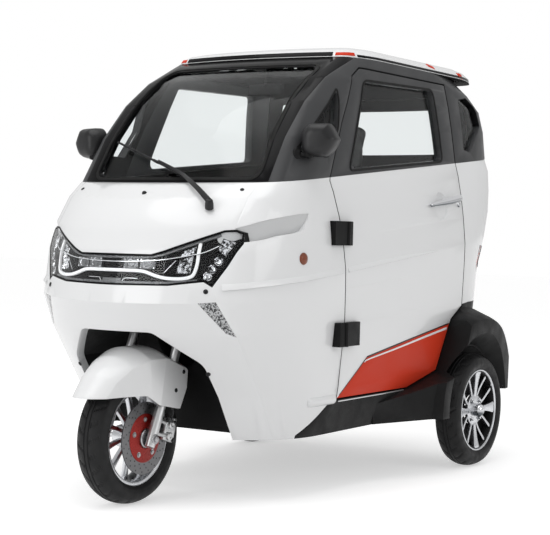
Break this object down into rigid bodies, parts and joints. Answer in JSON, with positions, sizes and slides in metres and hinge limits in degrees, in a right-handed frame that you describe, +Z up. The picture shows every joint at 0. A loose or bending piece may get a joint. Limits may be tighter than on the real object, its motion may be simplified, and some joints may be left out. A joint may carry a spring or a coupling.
{
  "type": "enclosed three-wheeled car",
  "caption": "Small enclosed electric three-wheeled cabin car with one steered front wheel, side doors, a tailgate and a rear bench.",
  "frame": {"origin": "on the ground below the middle of the overall length, on the centre plane", "axes": "+X to the vehicle's left, +Y to its rear, +Z up"},
  "size_m": [1.196, 2.2697, 1.661],
  "materials": {
    "white_paint": "gloss white paint over moulded panels",
    "red_paint": "gloss orange-red paint",
    "black_gloss": "gloss black",
    "frame_grey": "satin dark grey powder coat",
    "cabin_glass": "lightly tinted safety glass",
    "black_plastic": "satin black moulded plastic",
    "lamp_lens": "clear lamp lens",
    "red_lens": "red lamp lens",
    "chrome_trim": "bright chrome",
    "cast_alloy": "silver lacquered cast alloy",
    "fork_silver": "silver paint",
    "disc_steel": "ground steel",
    "tyre_rubber": "matt black rubber",
    "frame_steel": "black painted steel",
    "battery_case": "matt grey case",
    "spring_steel": "black painted steel",
    "seat_vinyl": "stitched black vinyl"
  },
  "bodies": {
    "root": {"battery_box": "battery_case", "bonnet": "white_paint", "cab_side_frames": "black_gloss", "chassis": "frame_steel", "dashboard": "black_plastic", "driver_seat": "seat_vinyl", "front_quarters": "white_paint", "headlamp_unit": "black_gloss", "hinge_leaves": "black_plastic", "lower_lamps": "lamp_lens", "mirrors": "black_plastic", "nose_mask": "white_paint", "plate_bracket": "black_plastic", "quarter_glass": "cabin_glass", "rear_axle": "frame_steel", "rear_bench": "seat_vinyl", "rear_bumper": "black_plastic", "rear_panel": "white_paint", "rear_quarters": "white_paint", "roof_panel": "white_paint", "shock_absorbers": "spring_steel", "side_skirts": "black_plastic", "tail_lamps": "red_lens", "tailgate_hinges": "black_plastic", "wheel_arch_liner": "black_plastic", "wheel_housings": "black_plastic", "windscreen_frame": "black_gloss", "windscreen_glass": "cabin_glass", "wiper": "black_plastic"},
    "steering": {"front_fork": "fork_silver", "handlebar": "frame_steel", "front_mudguard": "white_paint", "brake_caliper": "fork_silver"},
    "front_wheel": {"front_rim": "cast_alloy", "front_tyre": "tyre_rubber", "brake_disc": "disc_steel"},
    "rear_wheel_left": {"rear_rim_left": "cast_alloy", "rear_tyre_left": "tyre_rubber"},
    "rear_wheel_right": {"rear_rim_right": "cast_alloy", "rear_tyre_right": "tyre_rubber"},
    "door_left": {"door_frame_left": "frame_grey", "door_glass_left": "cabin_glass", "door_handle_left": "chrome_trim", "door_shell_left": "white_paint", "door_trim_left": "red_paint", "hinge_strap_left": "black_plastic"},
    "door_right": {"door_frame_right": "frame_grey", "door_glass_right": "cabin_glass", "door_handle_right": "chrome_trim", "door_shell_right": "white_paint", "door_trim_right": "red_paint", "hinge_strap_right": "black_plastic"},
    "tailgate": {"rear_glass": "cabin_glass", "tailgate": "white_paint"}
  },
  "joints": [
    {"name": "steer", "type": "hinge", "parent": "root", "child": "steering", "pos_m": [0, -0.83246, 0.21373], "axis": [0, 0.4067, 0.9135], "range_deg": [-32, 32]},
    {"name": "front_wheel_spin", "type": "hinge", "parent": "steering", "child": "front_wheel", "pos_m": [0, -0.869, 0.23], "axis": [1, 0, 0], "continuous": true},
    {"name": "rear_wheel_left_spin", "type": "hinge", "parent": "root", "child": "rear_wheel_left", "pos_m": [0.53, 0.731, 0.23], "axis": [1, 0, 0], "continuous": true},
    {"name": "rear_wheel_right_spin", "type": "hinge", "parent": "root", "child": "rear_wheel_right", "pos_m": [-0.53, 0.731, 0.23], "axis": [1, 0, 0], "continuous": true},
    {"name": "door_left_swing", "type": "hinge", "parent": "root", "child": "door_left", "pos_m": [0.529, -0.301, 0.76], "axis": [0, 0, -1], "range_deg": [0, 65]},
    {"name": "door_right_swing", "type": "hinge", "parent": "root", "child": "door_right", "pos_m": [-0.529, -0.301, 0.76], "axis": [0, 0, 1], "range_deg": [0, 65]},
    {"name": "tailgate_lift", "type": "hinge", "parent": "root", "child": "tailgate", "pos_m": [0, 1.043, 1.566], "axis": [1, 0, 0], "range_deg": [0, 70]}
  ]
}
